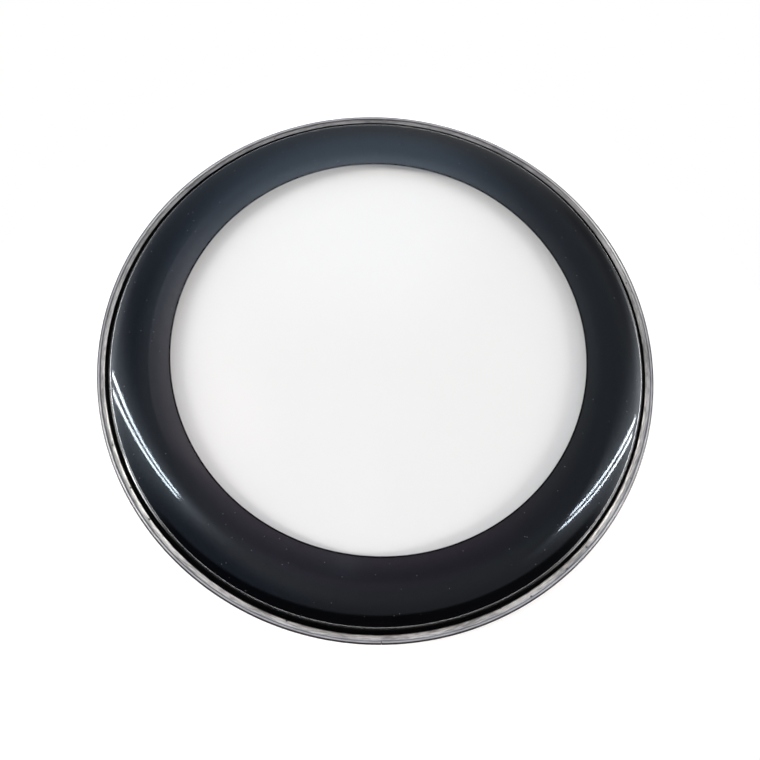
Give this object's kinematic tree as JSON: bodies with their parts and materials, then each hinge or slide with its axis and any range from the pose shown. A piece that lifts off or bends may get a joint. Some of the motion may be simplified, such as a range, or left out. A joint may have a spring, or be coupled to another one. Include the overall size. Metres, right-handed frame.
{
  "type": "drum head",
  "caption": "Round tom drum head: clear film window, wide glossy black ring over a rounded collar, potted into an aluminium channel hoop.",
  "frame": {"origin": "on the head's axis, in the plane that the hoop stands on", "axes": "+Z along the head's axis, from the hoop up to the playing surface; the hoop's butt joint faces -Y"},
  "size_m": [0.268, 0.268, 0.0188],
  "materials": {
    "clear_film": "clear glossy polyester film",
    "black_film": "black polyester film, glossy through the clear film above it",
    "aluminium": "rolled mill finish with fine lines along the strip",
    "grey_resin": "cast grey resin with pinholes and a ragged edge"
  },
  "bodies": {
    "root": {"batter_film": "clear_film", "black_ring": "black_film", "flesh_hoop": "aluminium", "potting_resin": "grey_resin", "hoop_splice": "aluminium"}
  },
  "joints": []
}
